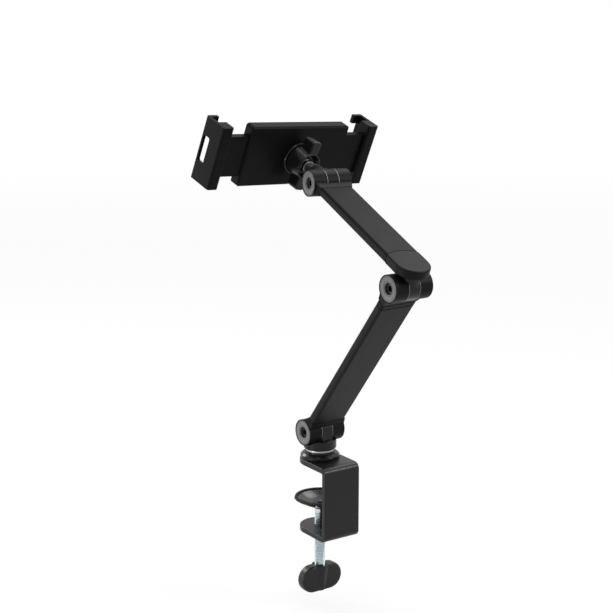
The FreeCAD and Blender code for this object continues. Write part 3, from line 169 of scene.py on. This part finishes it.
def dressed(piece, finish):
    """Gives a piece its finish."""
    piece.data.materials.clear()
    piece.data.materials.append(finish)


powder_coat = coated("powder_coat", (0.0045, 0.0045, 0.0048), 0.35, 1400, 0.00003, shine=0.26)
dressed(broken_edges("clamp_bracket", 0.0005), powder_coat)


# Base foot, washer and bush
# A turned foot sits on the bracket on two dowels, with a thrust washer for the swivel above it.
# The foot is painted black, its washer and dowels are plated steel, and the screw's bush is blackened steel.

satin_paint = coated("satin_paint", (0.004, 0.004, 0.0043), 0.27, 1800, 0.00001, shine=0.24)
plated_steel = coated("plated_steel", (0.42, 0.42, 0.43), 0.38, 2500, 0.000006, metal=1.0)
dark_oxide = coated("dark_oxide", (0.03, 0.03, 0.031), 0.4, 2200, 0.000008, shine=0.3)
dressed(broken_edges("base_foot", 0.0006), satin_paint)
dressed(broken_edges("thrust_washer", 0.0002), plated_steel)
dressed(broken_edges("foot_dowels", 0.0002), plated_steel)
dressed(broken_edges("screw_bush", 0.0003), dark_oxide)


# Pressure pad
# A pressed steel dish with a hub that the screw's tip turns in, enamelled black.
# A rubber ring on its rim presses on the underside of the desk.

soft_rubber = coated("soft_rubber", (0.02, 0.02, 0.02), 0.8, 3200, 0.00003, shine=0.2)
gloss_enamel = coated("gloss_enamel", (0.009, 0.009, 0.0095), 0.24, 1500, 0.00001, shine=0.5)
dressed(broken_edges("pressure_pad", 0.0003), gloss_enamel)
dressed(broken_edges("pad_rubber", 0.0003), soft_rubber)


# Clamp screw
# A zinc plated M10 steel screw with a rolled thread, held in the pad by a spring clip.
# The thread is one outline of a crest and a root, carried up round the axis by the thread's pitch.

zinc_plate = coated("zinc_plate", (0.56, 0.63, 0.66), 0.2, 2600, 0.000008, metal=1.0)
oxide_steel = coated("oxide_steel", (0.01, 0.01, 0.0105), 0.34, 2600, 0.000008, shine=0.3)
screw_axis = Vector((0, -0.018, 0))
screw_crest, screw_root, screw_pitch = 0.00495, 0.0041, 0.0015
thread_low, thread_turns, thread_steps = -0.1185, 49, 32
root_end, crest_start, crest_end = 0.25 * screw_pitch, 0.5625 * screw_pitch, 0.6875 * screw_pitch
rod_low, rod_high, rod_bevel = -0.12, -0.115, 0.001
collar_low, shoulder, collar_bevel = -0.048, -0.04345, 0.0008
tip_low, tip_high, tip_radius, tip_bevel = shoulder - 0.0005, -0.0376, 0.0035, 0.0005
clip_low, clip_high, clip_radius = -0.03975, -0.0385, 0.0027


def outline(name, points):
    """A line of vertices in the XZ plane, drawn from point to point as (radius, height)."""
    bpy.ops.mesh.primitive_plane_add(size=0.001)
    piece = bpy.context.object
    piece.name = name
    bpy.ops.object.mode_set(mode="EDIT")
    bpy.ops.mesh.select_all(action="SELECT")
    bpy.ops.mesh.merge(type="CENTER")
    bpy.ops.transform.translate(value=(points[0][0], 0, points[0][1]))
    for (radius, height), (next_radius, next_height) in zip(points, points[1:]):
        step = (next_radius - radius, 0, next_height - height)
        bpy.ops.mesh.extrude_region_move(TRANSFORM_OT_translate={"value": step})
    bpy.ops.object.mode_set(mode="OBJECT")
    return piece


def turned(piece, steps=64, turns=1, rise=0.0):
    """Carries an outline round the Z axis, and closes what it makes."""
    same_point, smooth = 0.000002, math.radians(35)
    pick(piece)
    turning = piece.modifiers.new("turning", "SCREW")
    turning.steps = steps
    turning.render_steps = steps
    turning.iterations = turns
    turning.screw_offset = rise
    bpy.ops.object.modifier_apply(modifier=turning.name)
    bpy.ops.object.mode_set(mode="EDIT")
    bpy.ops.mesh.select_all(action="SELECT")
    bpy.ops.mesh.remove_doubles(threshold=same_point)
    bpy.ops.mesh.fill_holes(sides=0)
    bpy.ops.mesh.select_all(action="SELECT")
    bpy.ops.mesh.normals_make_consistent(inside=False)
    bpy.ops.object.mode_set(mode="OBJECT")
    bpy.ops.object.shade_smooth_by_angle(angle=smooth)
    return piece


def stood(piece, place, axis=(0, 0, 1)):
    """Moves a piece made about Z onto an axis, and writes its place into its mesh."""
    pick(piece)
    piece.rotation_euler = Vector(axis).to_track_quat("Z", "Y").to_euler()
    piece.location = place
    bpy.ops.object.transform_apply(location=True, rotation=True, scale=True)
    return piece


def joined(pieces, name):
    """Makes one piece of several."""
    pick(*pieces)
    bpy.ops.object.join()
    pieces[0].name = name
    return pieces[0]


thread = turned(outline("screw_thread", [
    (screw_root, thread_low), (screw_root, thread_low + root_end),
    (screw_crest, thread_low + crest_start), (screw_crest, thread_low + crest_end),
    (screw_root, thread_low + screw_pitch)]), steps=thread_steps, turns=thread_turns, rise=screw_pitch)
lower_end = turned(outline("screw_lower_end", [
    (0, rod_low), (screw_root - rod_bevel, rod_low), (screw_root, rod_low + rod_bevel),
    (screw_root, rod_high), (0, rod_high)]))
collar = turned(outline("screw_collar", [
    (0, collar_low), (screw_root, collar_low), (screw_crest, collar_low + collar_bevel),
    (screw_crest, shoulder - rod_bevel), (screw_crest - collar_bevel, shoulder), (0, shoulder)]))
screw = joined([stood(part, screw_axis) for part in (thread, lower_end, collar)], "clamp_screw_finished")
dressed(screw, zinc_plate)
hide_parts("clamp_screw")
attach(screw, "screw")

# The tip in the pad's dish is dark steel as painted shade, standing for the shade that falls inside the
# dish.
screw_tip_painted_shade = stood(turned(outline("screw_tip_painted_shade", [
    (0, tip_low), (tip_radius, tip_low), (tip_radius, clip_low), (clip_radius, clip_low),
    (clip_radius, clip_high), (tip_radius, clip_high), (tip_radius, tip_high - tip_bevel),
    (tip_radius - tip_bevel, tip_high), (0, tip_high)])), screw_axis)
dressed(screw_tip_painted_shade, oxide_steel)
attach(screw_tip_painted_shade, "screw")
dressed(broken_edges("pad_clip", 0.0001), oxide_steel)


# Clamp knob
# A moulded paddle whose two round wings run softly into the hub, pinned to the screw's lower end.
# A fine skin over the solid, smoothed a few times, softens its corners and joins.

knob_plastic = coated("knob_plastic", (0.0075, 0.0075, 0.0078), 0.36, 2600, 0.00003, shine=0.28)
knob = shown_copy("clamp_knob")
skin = knob.modifiers.new("skin", "REMESH")
skin.mode = "VOXEL"
skin.voxel_size = 0.00045
bpy.ops.object.modifier_apply(modifier=skin.name)
relaxed = knob.modifiers.new("relaxed", "SMOOTH")
relaxed.iterations = 10
bpy.ops.object.modifier_apply(modifier=relaxed.name)
bpy.ops.object.shade_smooth()
dressed(knob, knob_plastic)
dressed(broken_edges("knob_pin", 0.0001), oxide_steel)


# Swivel
# A turned drum with the middle tongue of the lower hinge on top, held by a countersunk bolt from below.

dressed(broken_edges("base_swivel", 0.0003), satin_paint)
dressed(broken_edges("swivel_bolt", 0.0002), oxide_steel)


# Hinge bolts, washers and end discs
# Each hinge has a socket head bolt and a hexagon nut, two washers and a grey disc round the bolt's head.
# The discs are moulded with two fine grooves, one inside each rim.

disc_grey = coated("disc_grey", (0.165, 0.165, 0.165), 0.5, 2400, 0.00003, shine=0.3)
washer_steel = coated("washer_steel", (0.17, 0.17, 0.175), 0.5, 2500, 0.000006, metal=1.0)
moulded = coated("moulded", (0.006, 0.006, 0.0063), 0.44, 2600, 0.00003, shine=0.075)
disc_seat, disc_bore, disc_rim = 0.017, 0.0053, 0.0111
face, groove = 0.0018, 0.0015
disc_section = [
    (disc_bore, 0), (disc_rim, 0), (disc_rim, groove), (0.0108, face), (0.0103, face), (0.0101, groove),
    (0.0098, groove), (0.0096, face), (0.0067, face), (0.0065, groove), (0.0062, groove),
    (0.006, face), (0.0056, face), (disc_bore, groove), (disc_bore, 0)]
hinges = {joint["name"]: joint for joint in frame["joints"]}


def end_disc(hinge):
    """The disc on the end of a hinge that its bolt's head shows on."""
    axis = Vector(hinges[hinge]["axis"])
    seat = Vector(hinges[hinge]["pos_m"]) + disc_seat * axis
    return stood(turned(outline("disc_" + hinge, disc_section)), seat, axis)


lower_discs = joined([end_disc("lower_hinge"), end_disc("elbow_hinge")], "arm_rings_finished")
head_disc = end_disc("head_hinge")
head_disc.name = "upper_ring_finished"
for disc, node in ((lower_discs, "arm_rings"), (head_disc, "upper_ring")):
    dressed(disc, disc_grey)
    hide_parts(node)
    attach(disc, frame["nodes"][node]["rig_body"])
for node in ("arm_washers", "upper_washers"):
    dressed(broken_edges(node, 0.0001), washer_steel)
for node in ("arm_bolts", "arm_nuts", "upper_bolt", "upper_nut"):
    dressed(broken_edges(node, 0.0002), oxide_steel)
for node in ("arm_caps", "upper_cap"):
    dressed(broken_edges(node, 0.0003), moulded)


# Lower arm
# A flat aluminium tube, anodised black, with a moulded fork plugged and screwed into each end.
# The fine grain of the drawn tube runs lengthwise.

tube_grain = (1, 1, 30)
lower_lean = (math.radians(-38.5), 0, 0)
anodised_low = coated("anodised_low", (0.008, 0.008, 0.0082), 0.42, 900, 0.00001, shine=0.095,
                      stretch=tube_grain, turn=lower_lean)
dressed(broken_edges("lower_arm_tube", 0.0002), anodised_low)
for node in ("lower_arm_foot", "lower_arm_head", "lower_arm_collar"):
    dressed(broken_edges(node, 0.0004), moulded)
dressed(broken_edges("lower_arm_screws", 0.0002), oxide_steel)


# Elbow
# A turned boss on the lower arm's upper hinge, in which the upper arm swings on a washer and a clip.

dressed(broken_edges("elbow_boss", 0.0003), satin_paint)
dressed(broken_edges("boss_washer", 0.0001), plated_steel)
dressed(broken_edges("boss_clip", 0.0001), oxide_steel)


# Upper arm
# The same flat tube with a moulded round cap over the elbow and a fork at its head.

upper_lean = (math.radians(70), 0, math.radians(-5.85))
anodised = coated("anodised", (0.008, 0.008, 0.0082), 0.42, 900, 0.00001, shine=0.05,
                  stretch=tube_grain, turn=upper_lean)
dressed(broken_edges("upper_arm_tube", 0.0002), anodised)
for node in ("upper_arm_cap", "upper_arm_head"):
    dressed(broken_edges(node, 0.0004), moulded)
dressed(broken_edges("upper_arm_screws", 0.0002), oxide_steel)


# Head and ball stud
# A knuckle on the upper arm's fork carries a ball stud, which two nylon liners grip in the socket.

nylon = coated("nylon", (0.03, 0.03, 0.03), 0.5, 1800, 0.00001, shine=0.3)
satin_nickel = coated("satin_nickel", (0.09, 0.09, 0.092), 0.42, 2000, 0.000008, metal=1.0)
dressed(broken_edges("head_knuckle", 0.0003), moulded)
dressed(broken_edges("ball_stud", 0.0002), satin_nickel)
for node in ("liner_front", "liner_rear"):
    dressed(broken_edges(node, 0.0001), nylon)


# Ball socket and wing nut
# The socket is screwed to the holder's back. Its slit collar closes on the ball as the wing nut turns.

nut_plastic = coated("nut_plastic", (0.0048, 0.0048, 0.005), 0.22, 2600, 0.00001, shine=0.2)
dressed(broken_edges("ball_socket", 0.0003), nut_plastic)
dressed(broken_edges("wing_nut", 0.0006, steps=3), nut_plastic)
dressed(broken_edges("socket_screws", 0.0001), oxide_steel)


# Holder shell
# A moulded back with a flat front cover, in which both bars slide, and two rubber strips on the cover.

matt_black = coated("matt_black", (0.0048, 0.0048, 0.005), 0.4, 2600, 0.00003, shine=0.045)
for node in ("holder_back", "holder_front"):
    dressed(broken_edges(node, 0.0005, steps=3), matt_black)
dressed(broken_edges("holder_screws", 0.0001), oxide_steel)
dressed(broken_edges("front_pads", 0.0003), soft_rubber)


# Sliding bars and pinion
# Each bar carries a rack, and the pinion between the racks makes both jaws move together.

for node in ("left_bar", "right_bar"):
    dressed(broken_edges(node, 0.0003), matt_black)
dressed(broken_edges("pinion", 0.0001), nylon)
dressed(broken_edges("pinion_axle", 0.0001), oxide_steel)


# Jaws
# Two moulded hooks, screwed to the bars' ends, with a rubber pad inside each.

for side in ("left", "right"):
    dressed(broken_edges(side + "_jaw", 0.0005, steps=3), matt_black)
    dressed(broken_edges(side + "_jaw_screws", 0.0001), oxide_steel)
    dressed(broken_edges(side + "_jaw_pad", 0.0002), soft_rubber)


# Floor and light
# A plain pale floor, as low as the knob comes when the clamp is opened, which turns to white further off.
# Soft lamps stand above the holder and round it, with an even white on every side.

screw_drop = 0.0125
bpy.ops.mesh.primitive_plane_add(size=60, location=(0, 0, cad_low.z - screw_drop))
floor = bpy.context.object
floor.name = "floor"
pale = bpy.data.materials.new("pale_floor")
pale.use_nodes = True
nodes, links = pale.node_tree.nodes, pale.node_tree.links
surface = nodes["Principled BSDF"]
surface.inputs["Base Color"].default_value = (0.8, 0.8, 0.8, 1)
surface.inputs["Roughness"].default_value = 0.9
surface.inputs["Specular IOR Level"].default_value = 0
glow = nodes.new("ShaderNodeEmission")
glow.inputs["Color"].default_value = (1, 1, 1, 1)
rays = nodes.new("ShaderNodeLightPath")
spot = nodes.new("ShaderNodeTexCoord")
distance = nodes.new("ShaderNodeVectorMath")
distance.operation = "LENGTH"
links.new(spot.outputs["Object"], distance.inputs[0])
share = nodes.new("ShaderNodeMath")
share.operation = "MAXIMUM"
for entry, (ray, near, far, least) in enumerate((
        ("Is Camera Ray", 0.3, 3, 0.85),
        ("Is Glossy Ray", 0.1, 0.45, 0.3))):
    fade = nodes.new("ShaderNodeMapRange")
    fade.inputs["From Min"].default_value = near
    fade.inputs["From Max"].default_value = far
    fade.inputs["To Min"].default_value = least
    fade.inputs["To Max"].default_value = 1
    links.new(distance.outputs["Value"], fade.inputs["Value"])
    seen = nodes.new("ShaderNodeMath")
    seen.operation = "MULTIPLY"
    links.new(rays.outputs[ray], seen.inputs[0])
    links.new(fade.outputs["Result"], seen.inputs[1])
    links.new(seen.outputs[0], share.inputs[entry])
both = nodes.new("ShaderNodeMixShader")
links.new(share.outputs[0], both.inputs["Fac"])
links.new(surface.outputs["BSDF"], both.inputs[1])
links.new(glow.outputs["Emission"], both.inputs[2])
links.new(both.outputs["Shader"], nodes["Material Output"].inputs["Surface"])
floor.data.materials.append(pale)

lit_point = Vector((0, 0, 0.1))
for name, place, width, watts in (
        ("window", (-0.95, -0.3, 1.35), 0.8, 8),
        ("overhead", (0.1, 0.1, 1.7), 0.5, 11),
        ("right_rear", (-0.85, 0.95, 0.95), 0.4, 9),
        ("low_left", (0.9, -1.25, 0.15), 0.4, 2),
        ("user_side", (0.35, -1.3, 0.8), 0.4, 9),
        ("low_side", (0.95, -0.02, -0.03), 0.12, 2.5)):
    bpy.ops.object.light_add(type="AREA", location=place)
    lamp = bpy.context.object
    lamp.name = name
    lamp.data.shape = "SQUARE"
    lamp.data.size = width
    lamp.data.energy = watts
    aim = lit_point - Vector(place)
    lamp.rotation_euler = aim.to_track_quat("-Z", "Y").to_euler()

world = bpy.data.worlds.new("studio")
bpy.context.scene.world = world
world.use_nodes = True
nodes, links = world.node_tree.nodes, world.node_tree.links
fill = nodes["Background"]
fill.inputs["Color"].default_value = (1, 1, 1, 1)
fill.inputs["Strength"].default_value = 0.45
white = nodes.new("ShaderNodeBackground")
white.inputs["Color"].default_value = (1, 1, 1, 1)
white.inputs["Strength"].default_value = 1
rays = nodes.new("ShaderNodeLightPath")
seen = nodes.new("ShaderNodeMath")
seen.operation = "MAXIMUM"
links.new(rays.outputs["Is Camera Ray"], seen.inputs[0])
mirrored = nodes.new("ShaderNodeMath")
mirrored.operation = "MAXIMUM"
links.new(rays.outputs["Is Glossy Ray"], mirrored.inputs[0])
links.new(rays.outputs["Is Transmission Ray"], mirrored.inputs[1])
links.new(mirrored.outputs[0], seen.inputs[1])
both = nodes.new("ShaderNodeMixShader")
links.new(seen.outputs[0], both.inputs["Fac"])
links.new(fill.outputs["Background"], both.inputs[1])
links.new(white.outputs["Background"], both.inputs[2])
links.new(both.outputs["Shader"], nodes["World Output"].inputs["Surface"])


# Camera
# A long lens behind and above the holder, at the photograph's angle.

bpy.ops.object.camera_add(location=(0.77346, 1.08981, 0.45944))
camera = bpy.context.object
camera.data.lens = 91.286
camera.data.sensor_width = 36
camera.data.sensor_fit = "HORIZONTAL"
look = Vector((-0.550287, -0.803673, -0.226481))
camera.rotation_euler = look.to_track_quat("-Z", "Y").to_euler()
bpy.context.scene.camera = camera
bpy.context.scene.view_settings.view_transform = "Standard"
